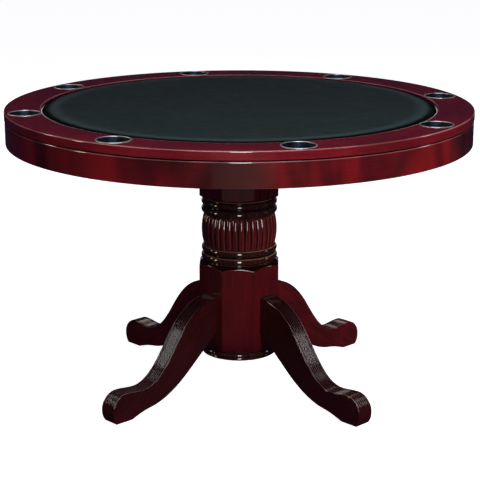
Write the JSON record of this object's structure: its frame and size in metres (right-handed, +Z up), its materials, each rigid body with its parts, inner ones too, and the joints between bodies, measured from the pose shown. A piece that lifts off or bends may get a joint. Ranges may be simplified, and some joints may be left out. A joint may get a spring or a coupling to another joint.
{
  "type": "gaming table",
  "caption": "Round pedestal gaming table: padded vinyl playing surface in a wooden rail with drop-in steel cup holders, deep bent apron, reeded turned column and reeded splayed legs",
  "frame": {"origin": "on the floor, under the centre of the table", "axes": "+Z up; the four legs stand on the diagonals between X and Y; -Y is the front in the picture"},
  "size_m": [1.219, 1.2192, 0.77],
  "materials": {
    "red_mahogany": "gloss lacquer over red-brown mahogany stain",
    "dark_mahogany": "gloss lacquer over a darker mahogany stain",
    "bare_wood": "unfinished sanded hardwood",
    "plywood": "sanded plywood",
    "vinyl": "dark grey-green vinyl with a fine leather grain",
    "foam": "open-cell foam",
    "polished_steel": "polished stainless steel",
    "plated_steel": "zinc-plated steel",
    "brass": "plain brass",
    "nylon": "black nylon"
  },
  "bodies": {
    "pedestal": {"apron_hoop": "red_mahogany", "cross_rail_x": "bare_wood", "cross_rail_y": "bare_wood", "ledge_blocks": "bare_wood", "rail_screws": "plated_steel", "mounting_plate": "dark_mahogany", "plate_screws": "plated_steel", "rail_bolts": "plated_steel", "rail_nuts": "plated_steel", "upper_block": "red_mahogany", "upper_beads": "dark_mahogany", "reeded_barrel": "red_mahogany", "lower_beads": "dark_mahogany", "lower_block": "red_mahogany", "base_disc": "red_mahogany", "base_screws": "plated_steel", "tie_rod": "plated_steel", "tie_nuts": "plated_steel", "leg_1": "red_mahogany", "leg_2": "red_mahogany", "leg_3": "red_mahogany", "leg_4": "red_mahogany", "leg_bolts": "plated_steel", "leg_nuts": "plated_steel", "leg_dowels": "bare_wood", "foot_inserts": "brass"},
    "top": {"rail_ring": "red_mahogany", "playfield_board": "plywood", "foam_pad": "foam", "vinyl_cover": "vinyl", "top_battens": "bare_wood", "batten_screws": "plated_steel"},
    "cup_1": {"cup_holder_1": "polished_steel"},
    "cup_2": {"cup_holder_2": "polished_steel"},
    "cup_3": {"cup_holder_3": "polished_steel"},
    "cup_4": {"cup_holder_4": "polished_steel"},
    "cup_5": {"cup_holder_5": "polished_steel"},
    "cup_6": {"cup_holder_6": "polished_steel"},
    "cup_7": {"cup_holder_7": "polished_steel"},
    "cup_8": {"cup_holder_8": "polished_steel"},
    "glide_1": {"leveler_1": "nylon"},
    "glide_2": {"leveler_2": "nylon"},
    "glide_3": {"leveler_3": "nylon"},
    "glide_4": {"leveler_4": "nylon"}
  },
  "joints": [
    {"name": "top_lift", "type": "slide", "parent": "pedestal", "child": "top", "axis": [0, 0, 1], "range_m": [0, 0.12]},
    {"name": "cup_1_lift", "type": "slide", "parent": "top", "child": "cup_1", "axis": [0, 0, 1], "range_m": [0, 0.062]},
    {"name": "cup_2_lift", "type": "slide", "parent": "top", "child": "cup_2", "axis": [0, 0, 1], "range_m": [0, 0.062]},
    {"name": "cup_3_lift", "type": "slide", "parent": "top", "child": "cup_3", "axis": [0, 0, 1], "range_m": [0, 0.062]},
    {"name": "cup_4_lift", "type": "slide", "parent": "top", "child": "cup_4", "axis": [0, 0, 1], "range_m": [0, 0.062]},
    {"name": "cup_5_lift", "type": "slide", "parent": "top", "child": "cup_5", "axis": [0, 0, 1], "range_m": [0, 0.062]},
    {"name": "cup_6_lift", "type": "slide", "parent": "top", "child": "cup_6", "axis": [0, 0, 1], "range_m": [0, 0.062]},
    {"name": "cup_7_lift", "type": "slide", "parent": "top", "child": "cup_7", "axis": [0, 0, 1], "range_m": [0, 0.062]},
    {"name": "cup_8_lift", "type": "slide", "parent": "top", "child": "cup_8", "axis": [0, 0, 1], "range_m": [0, 0.062]},
    {"name": "glide_1_screw", "type": "slide", "parent": "pedestal", "child": "glide_1", "axis": [0, 0, -1], "range_m": [0, 0.012]},
    {"name": "glide_2_screw", "type": "slide", "parent": "pedestal", "child": "glide_2", "axis": [0, 0, -1], "range_m": [0, 0.012]},
    {"name": "glide_3_screw", "type": "slide", "parent": "pedestal", "child": "glide_3", "axis": [0, 0, -1], "range_m": [0, 0.012]},
    {"name": "glide_4_screw", "type": "slide", "parent": "pedestal", "child": "glide_4", "axis": [0, 0, -1], "range_m": [0, 0.012]}
  ]
}
